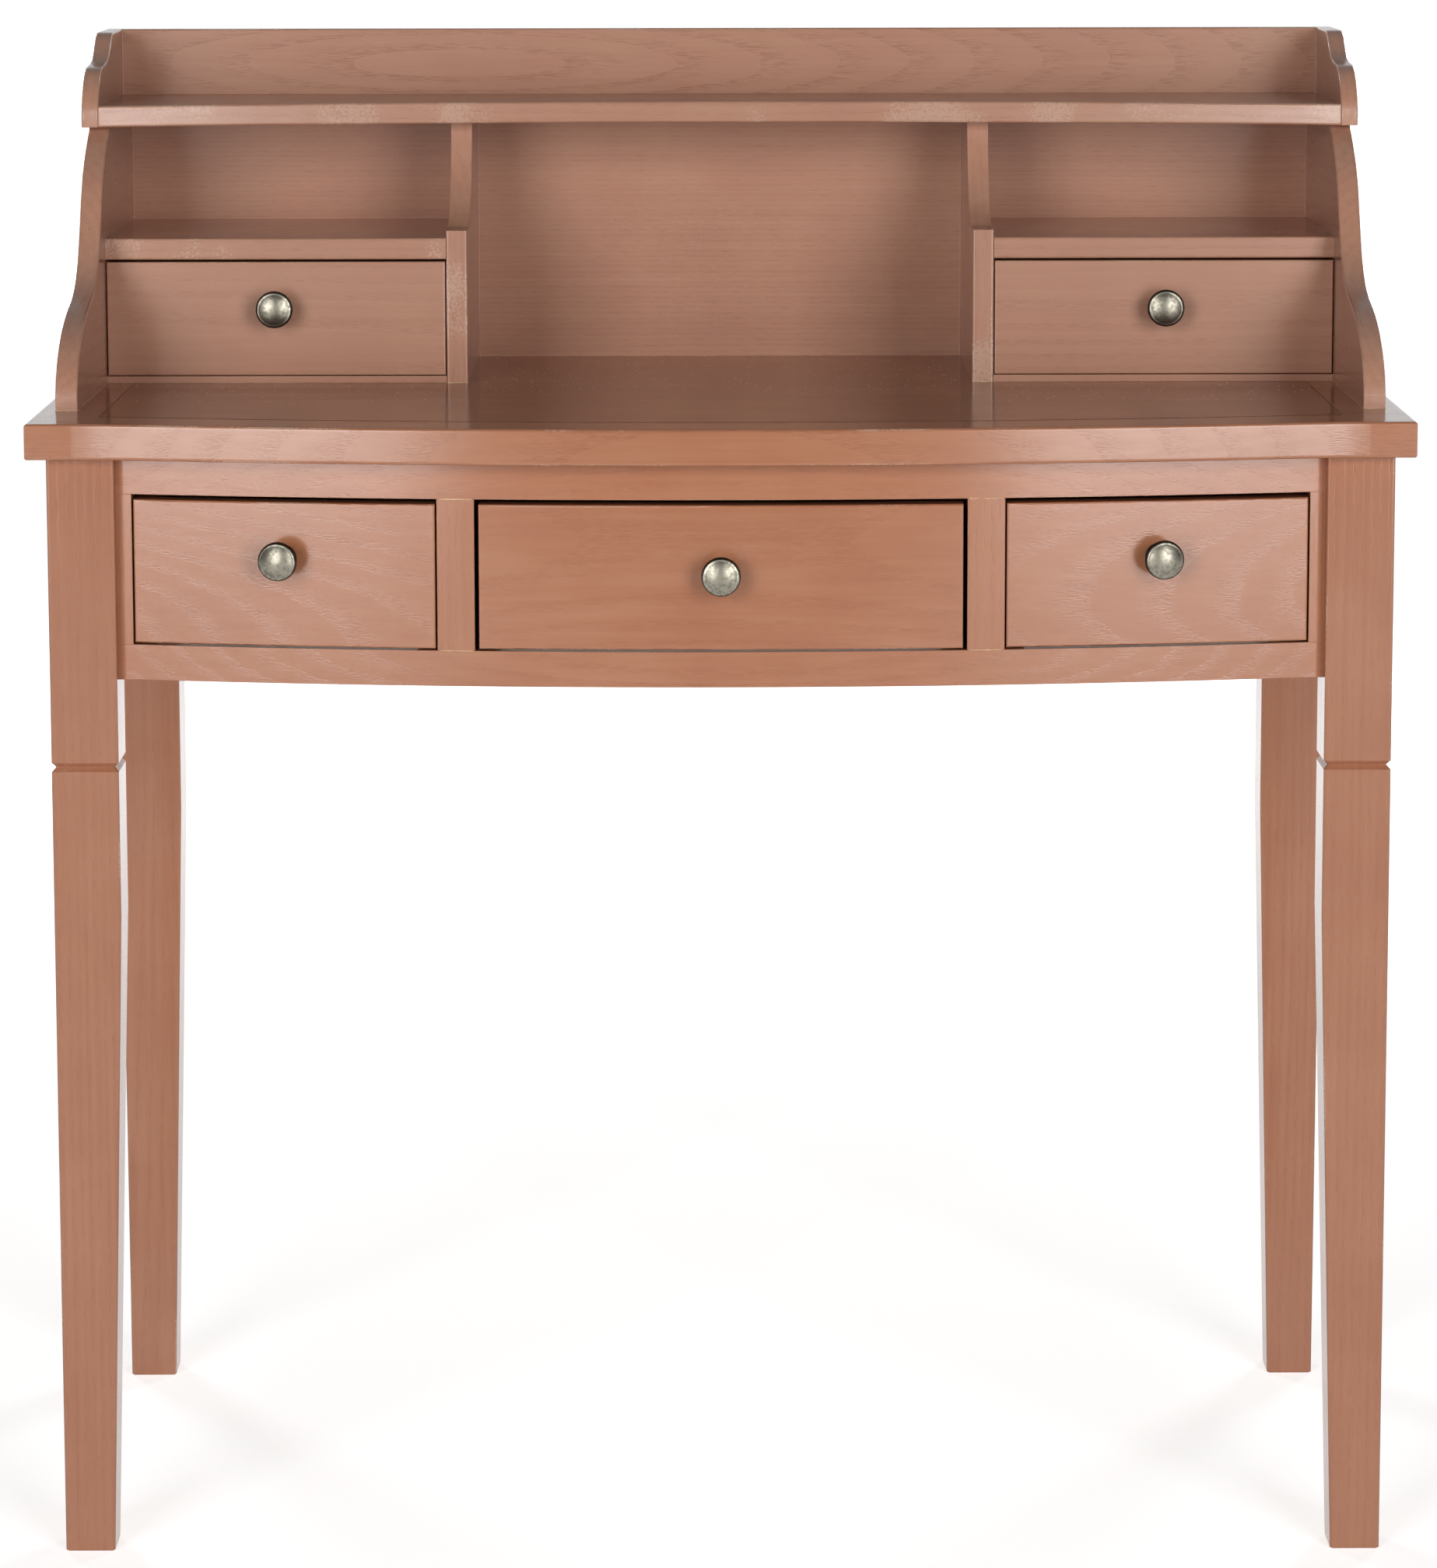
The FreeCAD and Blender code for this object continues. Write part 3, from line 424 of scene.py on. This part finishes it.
def planed_poplar(name, grain, pith):
    """Bare planed wood: broad soft rings, fine fibres along the grain, no gloss."""
    material, tree = new_material(name)
    place = add(tree, "ShaderNodeTexCoord").outputs["Object"]
    from_pith = add(tree, "ShaderNodeMapping",
                    {"Vector": place, "Location": pith, "Rotation": [PITH_TILT] * 3})
    rings = add(tree, "ShaderNodeTexWave",
                {"Vector": from_pith.outputs[0], "Scale": WAVE_PERIOD / POPLAR_RING, "Distortion": 2.5,
                 "Detail": 2.0, "Detail Scale": 0.3},
                wave_type="RINGS", rings_direction=grain, wave_profile="SAW")
    fibre_place = add(tree, "ShaderNodeMapping", {"Vector": from_pith.outputs[0],
                                                  "Scale": along(grain, FIBRE_LENGTH, FIBRE_WIDTH)})
    fibre = add(tree, "ShaderNodeTexNoise", {"Vector": fibre_place.outputs[0], "Scale": 1.0, "Detail": 3.0})
    share = add(tree, "ShaderNodeMix", {0: 0.55, 2: rings.outputs["Fac"], 3: fibre.outputs["Fac"]},
                data_type="FLOAT")
    wood = add(tree, "ShaderNodeMix", {0: share.outputs[0], 6: linear(POPLAR), 7: linear(POPLAR_DARK)},
               data_type="RGBA")
    bump = add(tree, "ShaderNodeBump",
               {"Height": fibre.outputs["Fac"], "Strength": 0.25, "Distance": BUMP_HEIGHT})
    rough = add(tree, "ShaderNodeMapRange", {"Value": fibre.outputs["Fac"], "To Min": 0.55, "To Max": 0.75})
    shader = add(tree, "ShaderNodeBsdfPrincipled",
                 {"Base Color": wood.outputs[2], "Roughness": rough.outputs[0], "Normal": bump.outputs[0]})
    add(tree, "ShaderNodeOutputMaterial", {"Surface": shader.outputs[0]})
    return material


DRAWERS = ("drawer_left", "drawer_center", "drawer_right", "hutch_drawer_left", "hutch_drawer_right")
poplar_deep = planed_poplar("planed_poplar_along_y", "Y", (0.03, 0, -0.68))
poplar_wide = planed_poplar("planed_poplar_along_x", "X", (0, 0.02, -0.66))
for drawer in DRAWERS:
    for board in ("side_left", "side_right", "bottom"):
        finish_node(f"{drawer}_{board}", poplar_deep)
    finish_node(f"{drawer}_back", poplar_wide)
finish_node("drawer_runners", poplar_deep)
finish_node("corner_blocks", poplar_wide)
print("bare boards:", 4 * len(DRAWERS) + 2)

# %% [markdown]
# ## Metals
# The knobs are cast pewter. Their rims and necks, which look away from the front, are painted dark, as
# painted reflection of the dark room round them. The bolts and screws are steel with a dull zinc plating.
# Both are metals, so their colour is the colour of their reflections and the index of refraction stays at its
# default.

# %% Pewter and zinc
# The third colour is painted reflection: the dark room mirrored in the knobs' rims and necks.
PEWTER, PEWTER_CLOUD, DARK_RIM_REFLECTION = "#969184", "#7d796c", "#2f2b25"
ZINC, ZINC_DULL = "#b9bcc0", "#8f9297"


def mottled_metal(name, bright, cloudy, grit, rough, rim_reflection=None):
    """A metal in small cloudy patches. Given a reflection colour, faces that don't look to the front are
    painted dark with it.
    """
    material, tree = new_material(name)
    place = add(tree, "ShaderNodeTexCoord").outputs["Object"]
    cloud = add(tree, "ShaderNodeTexNoise",
                {"Vector": place, "Scale": 1 / grit, "Detail": 4.0, "Roughness": 0.6})
    share = add(tree, "ShaderNodeMapRange",
                {"Value": cloud.outputs["Fac"], "From Min": 0.40, "From Max": 0.68})
    colour = add(tree, "ShaderNodeMix", {0: share.outputs[0], 6: linear(bright), 7: linear(cloudy)},
                 data_type="RGBA")
    # Faces that look away from the front get the painted dark reflection.
    if rim_reflection:
        facing = add(tree, "ShaderNodeSeparateXYZ", {0: add(tree, "ShaderNodeNewGeometry").outputs["Normal"]})
        toward_front = add(tree, "ShaderNodeMath", {0: share.outputs[0], 1: 0.12, 2: facing.outputs["Y"]},
                     operation="MULTIPLY_ADD")
        rim_share = add(tree, "ShaderNodeMapRange",
                   {"Value": toward_front.outputs[0], "From Min": -0.93, "From Max": -0.55})
        colour = add(tree, "ShaderNodeMix", {0: rim_share.outputs[0], 6: colour.outputs[2], 7: linear(rim_reflection)},
                     data_type="RGBA")
    gloss = add(tree, "ShaderNodeMapRange", {"Value": cloud.outputs["Fac"], "From Min": 0.3, "From Max": 0.7,
                                             "To Min": rough - 0.06, "To Max": rough + 0.06})
    bump = add(tree, "ShaderNodeBump",
               {"Height": cloud.outputs["Fac"], "Strength": 0.08, "Distance": BUMP_HEIGHT})
    shader = add(tree, "ShaderNodeBsdfPrincipled",
                 {"Base Color": colour.outputs[2], "Metallic": 1.0, "Roughness": gloss.outputs[0],
                  "Normal": bump.outputs[0]})
    add(tree, "ShaderNodeOutputMaterial", {"Surface": shader.outputs[0]})
    return material


pewter = mottled_metal("rubbed_pewter", PEWTER, PEWTER_CLOUD, 2.5 * MM, 0.36, rim_reflection=DARK_RIM_REFLECTION)
zinc = mottled_metal("zinc_plated_steel", ZINC, ZINC_DULL, 2 * MM, 0.42)
finish_node("leg_bolts", zinc)
for drawer in DRAWERS:
    finish_node(f"{drawer}_knob_screw", zinc)
print("zinc pieces:", len(DRAWERS) + 1)

# %% [markdown]
# ## Turned knobs
# Each knob is a mushroom on a hollow neck: a low dome with a rounded edge, a fine groove that leaves a lip,
# and a bore for the screw. Such a shape is drawn once as half a section and turned round its axis, as on a
# lathe.
# Geometry Nodes do the turning: a grid has one column for each point of the section and one row for each step
# round the axis, and Set Position wraps it round. A mesh modelled by hand would be harder to change.

# %% Half a section of the knob
KNOB = dict(radius=13.0, length=24.0, flange_radius=9.0, flange=1.5, neck_radius=5.5, neck_middle=7.0,
            rim=17.5, lip=0.9, groove=0.5, edge=2.0, edge_start=19.6, dome_edge=21.7, bore_radius=2.1,
            bore=13.0, bevel=0.3)


def bend(start, middle, end, steps):
    """Points on the circle through three points, the first left out."""
    (ax, ay), (bx, by), (cx, cy) = start, middle, end
    d = 2 * (ax * (by - cy) + bx * (cy - ay) + cx * (ay - by))
    a2, b2, c2 = ax * ax + ay * ay, bx * bx + by * by, cx * cx + cy * cy
    centre = Vector(((a2 * (by - cy) + b2 * (cy - ay) + c2 * (ay - by)) / d,
                     (a2 * (cx - bx) + b2 * (ax - cx) + c2 * (bx - ax)) / d))
    arm, last = Vector(start) - centre, Vector(end) - centre
    sweep = arm.angle_signed(last)
    return [tuple(centre + Matrix.Rotation(-sweep * i / steps, 2) @ arm) for i in range(1, steps + 1)]


def knob_section(k):
    """The section from the bottom of the bore, round the outside, to the crown: (radius, height) in mm."""
    r, f, b = k["radius"], k["flange_radius"], k["bevel"]
    section = [(0, k["bore"]), (k["bore_radius"], k["bore"]), (k["bore_radius"], 0), (f - b, 0), (f, b),
               (f, k["flange"] - b), (f - b, k["flange"])]
    section += bend(section[-1], (k["neck_radius"], k["neck_middle"]), (r - 0.4, k["rim"]), 24)
    section += [(r, k["rim"] + 0.4), (r, k["rim"] + k["lip"]), (r - k["groove"], k["rim"] + k["lip"] + 0.3),
                (r - k["groove"], k["rim"] + k["lip"] + 0.7), (r - 0.1, k["edge_start"])]
    corner = (r - 0.1 - k["edge"] * 0.31, k["dome_edge"] - k["edge"] * 0.27)
    section += bend(section[-1], corner, (r - k["edge"], k["dome_edge"]), 8)
    crown = (r - k["edge"], k["dome_edge"])
    rise = k["length"] - k["dome_edge"]
    return section + bend(crown, (crown[0] / 2, k["dome_edge"] + rise * 0.76), (0, k["length"]), 14)


section_points = knob_section(KNOB)
print("section points:", len(section_points))

# %% Helpers for Geometry Nodes
def new_tree(name, sockets):
    """An empty tree with named inputs: the tree, the identifiers of its inputs, and their outlets."""
    tree = bpy.data.node_groups.new(name, "GeometryNodeTree")
    ids = {label: tree.interface.new_socket(label, in_out="INPUT", socket_type="NodeSocket" + kind).identifier
           for label, kind in sockets.items()}
    tree.interface.new_socket("Result", in_out="OUTPUT", socket_type="NodeSocketGeometry")
    return tree, ids, add(tree, "NodeGroupInput").outputs


def end_tree(tree, made, material):
    """Close a tree: instances become real faces, and all get one material."""
    real = add(tree, "GeometryNodeRealizeInstances", {0: made})
    dressed = add(tree, "GeometryNodeSetMaterial", {"Geometry": real.outputs[0], "Material": material})
    add(tree, "NodeGroupOutput", {0: dressed.outputs[0]})


def sketch(name, points, edges=(), faces=()):
    """A mesh object that a tree reads: points of a section, edges of a path or faces of a field."""
    mesh = bpy.data.meshes.new(name)
    mesh.from_pydata(points, edges, faces)
    drawn = bpy.data.objects.new(name, mesh)
    bpy.context.collection.objects.link(drawn)
    return drawn


def grow(name, tree, ids, settings):
    """Run a tree with its settings and keep the result as a plain mesh object."""
    holder = sketch(name, [])
    modifier = holder.modifiers.new(tree.name, "NODES")
    modifier.node_group = tree
    for label, value in settings.items():
        modifier[ids[label]] = value
    graph = bpy.context.evaluated_depsgraph_get()
    mesh = bpy.data.meshes.new_from_object(holder.evaluated_get(graph), depsgraph=graph)
    holder.modifiers.clear()
    holder.data = mesh
    print(name, len(mesh.polygons), "faces")
    return holder


# %% A lathe of Geometry Nodes
lathe, lathe_ids, given = new_tree("lathe", {"Section": "Object", "Points": "Int", "Steps": "Int",
                                             "Seat": "Vector", "Turn": "Vector", "Metal": "Material"})
section = add(lathe, "GeometryNodeObjectInfo", {"Object": given["Section"]})
rows = add(lathe, "ShaderNodeMath", {0: given["Steps"], 1: 1.0}, operation="ADD")
grid = add(lathe, "GeometryNodeMeshGrid", {"Vertices X": rows.outputs[0], "Vertices Y": given["Points"]})
index = add(lathe, "GeometryNodeInputIndex").outputs[0]
point = add(lathe, "ShaderNodeMath", {0: index, 1: given["Points"]}, operation="MODULO")
step = add(lathe, "ShaderNodeMath", {0: index, 1: given["Points"]}, operation="DIVIDE")
step = add(lathe, "ShaderNodeMath", {0: step.outputs[0]}, operation="FLOOR")
turn_share = add(lathe, "ShaderNodeMath", {0: step.outputs[0], 1: given["Steps"]}, operation="DIVIDE")
angle = add(lathe, "ShaderNodeMath", {0: turn_share.outputs[0], 1: 2 * pi}, operation="MULTIPLY")
position = add(lathe, "GeometryNodeInputPosition").outputs[0]
on_section = add(lathe, "GeometryNodeSampleIndex",
                 {"Geometry": section.outputs["Geometry"], "Value": position, "Index": point.outputs[0]},
                 data_type="FLOAT_VECTOR", domain="POINT")
wrapped = add(lathe, "ShaderNodeVectorRotate", {"Vector": on_section.outputs[0], "Axis": (0, 1, 0),
                                                "Angle": angle.outputs[0]}, rotation_type="AXIS_ANGLE")
shaped = add(lathe, "GeometryNodeSetPosition",
             {"Geometry": grid.outputs["Mesh"], "Position": wrapped.outputs[0]})
closed = add(lathe, "GeometryNodeMergeByDistance", {"Geometry": shaped.outputs[0], "Distance": 0.001 * MM})
smooth = add(lathe, "GeometryNodeSetShadeSmooth", {"Geometry": closed.outputs[0]})
seated = add(lathe, "GeometryNodeTransform", {"Geometry": smooth.outputs[0], "Translation": given["Seat"],
                                              "Rotation": given["Turn"]})
end_tree(lathe, seated.outputs[0], given["Metal"])
print("lathe nodes:", len(lathe.nodes))

# %% Turn one knob for each drawer
KNOB_LEAN = {"drawer_left": -8.37, "drawer_right": 8.37}
KNOB_STEPS = 72


def knob_seat(node, lean):
    """Where the axis of a CAD knob meets its drawer front: the middle of its back face."""
    out = Vector((sin(lean), -cos(lean), 0))
    aside = Vector((cos(lean), sin(lean), 0))
    corners = [v.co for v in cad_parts[node].data.vertices]
    across, upright = [c.dot(aside) for c in corners], [c.z for c in corners]
    middle = [(min(values) + max(values)) / 2 for values in (across, upright)]
    return aside * middle[0] + out * min(c.dot(out) for c in corners) + Vector((0, 0, middle[1]))


section_sketch = sketch("knob_section", [(r * MM, -h * MM, 0) for r, h in section_points])
for drawer in DRAWERS:
    lean = radians(KNOB_LEAN.get(drawer, 0))
    knob = grow(f"{drawer}_turned_knob", lathe, lathe_ids,
                {"Section": section_sketch, "Points": len(section_points), "Steps": KNOB_STEPS,
                 "Metal": pewter, "Seat": knob_seat(f"{drawer}_knob", lean), "Turn": (0, 0, lean)})
    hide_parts(f"{drawer}_knob")
    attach(knob, drawer)
bpy.data.objects.remove(section_sketch)

# %% [markdown]
# ## Filler, open joints and paint nibs
# Small flaws make a painted piece believable: caulk in the inner corners of the hutch, filler that has come
# out of the joints beside the drawers, the thin open joints in the top, drawn as dark beads of painted shade,
# and nibs of dried paint where dust fell on the wet coat. Caulk, filler and joints all follow lines, so one
# tree sweeps a small circle along any path and lets noise make it thicker and thinner. Nibs repeat hundreds
# of times, so another tree scatters tiny spheres over a field of faces.

# %% Plain materials for the flaws
def plain_paint(name, colour, grit, rough):
    """A matt paint or putty whose tone varies from grain to grain."""
    material, tree = new_material(name)
    place = add(tree, "ShaderNodeTexCoord").outputs["Object"]
    grain = add(tree, "ShaderNodeTexNoise", {"Vector": place, "Scale": 1 / grit, "Detail": 2.0})
    value = add(tree, "ShaderNodeMapRange", {"Value": grain.outputs["Fac"], "To Min": 0.7, "To Max": 1.25})
    tone = add(tree, "ShaderNodeHueSaturation", {"Color": linear(colour), "Value": value.outputs[0]})
    shader = add(tree, "ShaderNodeBsdfPrincipled", {"Base Color": tone.outputs[0], "Roughness": rough})
    add(tree, "ShaderNodeOutputMaterial", {"Surface": shader.outputs[0]})
    return material


caulk = plain_paint("painted_caulk", "#c79a84", 1.5 * MM, 0.4)
filler = plain_paint("wood_filler", "#e2c79c", 1.0 * MM, 0.7)
# The open joints' dark colour is painted shade in the gaps.
open_joint = plain_paint("open_joint_shadow", "#4a2c20", 2.0 * MM, 0.6)
nib_paint = plain_paint("dried_paint_nibs", "#c9957c", 3.0 * MM, 0.3)
print("flaw materials: 4")

# %% A bead along a path
bead, bead_ids, given = new_tree("bead", {"Path": "Object", "Radius": "Float", "Thinnest": "Float",
                                          "Lump": "Float", "Stuff": "Material"})
path = add(bead, "GeometryNodeObjectInfo", {"Object": given["Path"]})
line = add(bead, "GeometryNodeMeshToCurve", {"Mesh": path.outputs["Geometry"]})
even = add(bead, "GeometryNodeResampleCurve", {"Curve": line.outputs[0], "Length": given["Lump"]},
           mode="LENGTH")
fine = add(bead, "ShaderNodeMath", {0: 0.3, 1: given["Lump"]}, operation="DIVIDE")
uneven = add(bead, "ShaderNodeTexNoise", {"Scale": fine.outputs[0], "Detail": 2.0})
thickness = add(bead, "ShaderNodeMapRange", {"Value": uneven.outputs["Fac"], "From Min": 0.35,
                                             "From Max": 0.7, "To Min": given["Thinnest"], "To Max": 1.0})
round_profile = add(bead, "GeometryNodeCurvePrimitiveCircle", {"Resolution": 6, "Radius": given["Radius"]})
tube = add(bead, "GeometryNodeCurveToMesh",
           {"Curve": even.outputs[0], "Profile Curve": round_profile.outputs[0],
            "Scale": thickness.outputs[0], "Fill Caps": True})
end_tree(bead, tube.outputs[0], given["Stuff"])
print("bead nodes:", len(bead.nodes))

# %% Paths of the caulk, the filler and the open joints
BOARD = 15 * MM
(_, divider_front, top), (divider_out, _, shelf_under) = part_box("hutch_dividers")
(side_out, side_front, _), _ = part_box("hutch_side_left")
panel_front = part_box("hutch_back_panel")[0][1]
shelf_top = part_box("hutch_drawer_shelves")[1][2]
(_, _, gallery_low), (gallery_half, _, gallery_high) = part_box("gallery_back")
(_, apron_front, rail_low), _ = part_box("apron_top_rail")
stile_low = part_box("apron_stiles")[0][2]
panel_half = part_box("desktop_panel")[1][0]
bay, side_in = divider_out - BOARD, side_out + BOARD
STILE = (164 * MM, 175 * MM, 186 * MM)


def on_bow(x, z):
    """A point on the bowed front of the apron."""
    return (x, apron_front + x * x / (2 * BOW_RADIUS), z)


caulk_lines = [[(-bay, panel_front, top), (bay, panel_front, top)],
               [(-divider_out, panel_front, shelf_top), (side_in, panel_front, shelf_top)],
               [(divider_out, panel_front, shelf_top), (-side_in, panel_front, shelf_top)]]
filler_lines = []
for hand in (-1, 1):
    for x, low, high in ((bay, top, shelf_under), (divider_out, shelf_top, shelf_under),
                         (-side_in, shelf_top, shelf_under), (gallery_half, gallery_low, gallery_high)):
        caulk_lines.append([(hand * x, panel_front, low), (hand * x, panel_front, high)])
    caulk_lines.append([(hand * side_in, side_front, top), (hand * side_in, divider_front, top)])
    filler_lines += [[on_bow(hand * x, rail_low) for x in STILE],
                     [on_bow(hand * x, stile_low) for x in STILE],
                     [(hand * side_out, side_front, top), (hand * side_in, side_front, top)],
                     [(hand * bay, divider_front, top), (hand * divider_out, divider_front, top)]]

top_corners = [v.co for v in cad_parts["desktop_panel"].data.vertices if v.co.z > top - 0.01 * MM]
strip_seam = sorted((tuple(c) for c in top_corners if c.y < side_front), key=lambda c: c[0])
end_seams = [[(hand * panel_half, strip_seam[0][1], top), (hand * panel_half, divider_front, top)]
             for hand in (-1, 1)]
print("caulk lines:", len(caulk_lines), "filler lines:", len(filler_lines), "seams:", 1 + len(end_seams))

# %% Sweep the beads
BEADS = {
    "corner_caulk": dict(lines=caulk_lines, radius=0.45, thinnest=0.5, stuff=caulk, slot="painted_wood"),
    "joint_filler": dict(lines=filler_lines, radius=0.55, thinnest=0.2, stuff=filler, slot="painted_wood"),
    "open_top_joints": dict(lines=[strip_seam, *end_seams], radius=0.22, thinnest=0.6, stuff=open_joint,
                            slot="painted_top"),
}
BEAD_STEP = 1.5 * MM
for name, made_of in BEADS.items():
    points, edges = [], []
    for line in made_of["lines"]:
        edges += [(len(points) + i, len(points) + i + 1) for i in range(len(line) - 1)]
        points += line
    path_sketch = sketch(f"{name}_path", points, edges)
    piece = grow(name, bead, bead_ids,
                 {"Path": path_sketch, "Radius": made_of["radius"] * MM, "Lump": BEAD_STEP,
                  "Thinnest": made_of["thinnest"], "Stuff": made_of["stuff"]})
    bpy.data.objects.remove(path_sketch)
    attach(piece, "desk")

# %% Scatter the nibs
scatter, scatter_ids, given = new_tree("nibs", {"Field": "Object", "Density": "Float", "Size": "Float",
                                                "Seed": "Int", "Paint": "Material"})
field = add(scatter, "GeometryNodeObjectInfo", {"Object": given["Field"]})
spots = add(scatter, "GeometryNodeDistributePointsOnFaces",
            {"Mesh": field.outputs["Geometry"], "Density": given["Density"], "Seed": given["Seed"]})
size = add(scatter, "FunctionNodeRandomValue", {2: 0.35, 3: 1.0, "Seed": given["Seed"]}, data_type="FLOAT")
ball = add(scatter, "GeometryNodeMeshIcoSphere", {"Radius": given["Size"], "Subdivisions": 1})
balls = add(scatter, "GeometryNodeInstanceOnPoints",
            {"Points": spots.outputs["Points"], "Instance": ball.outputs["Mesh"], "Scale": size.outputs[1]})
end_tree(scatter, balls.outputs[0], given["Paint"])


def rectangles(corners):
    """Points and faces of rectangles that are given by two opposite corners, level or upright."""
    points, faces = [], []
    for (x0, y0, z0), (x1, y1, z1) in corners:
        faces.append([len(points) + i for i in range(4)])
        points += [(x0, y0, z0), (x1, y0, z0), (x1, y1, z1), (x0, y1, z1)]
    return points, (), faces


NIB_MARGIN = 8 * MM
NIB_REACH = 130 * MM
floor_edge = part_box("hutch_drawer_floors")[1][2]
level = [((-bay + NIB_MARGIN, divider_front - NIB_REACH / 2, top),
          (bay - NIB_MARGIN, panel_front - NIB_MARGIN, top))]
upright = []
for hand in (-1, 1):
    level.append(((hand * divider_out, divider_front - NIB_REACH, top),
                  (hand * -side_in, divider_front, top)))
    upright.append(((hand * divider_out, divider_front, top),
                    (hand * -side_in, divider_front, floor_edge)))
NIBS = {"top_nibs": dict(field=level, density=4500, size=0.42, seed=4),
        "edge_nibs": dict(field=upright, density=60000, size=0.4, seed=7)}
for name, made_of in NIBS.items():
    field_sketch = sketch(f"{name}_field", *rectangles(made_of["field"]))
    piece = grow(name, scatter, scatter_ids,
                 {"Field": field_sketch, "Density": made_of["density"], "Paint": nib_paint,
                  "Size": made_of["size"] * MM, "Seed": made_of["seed"]})
    bpy.data.objects.remove(field_sketch)
    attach(piece, "desk")
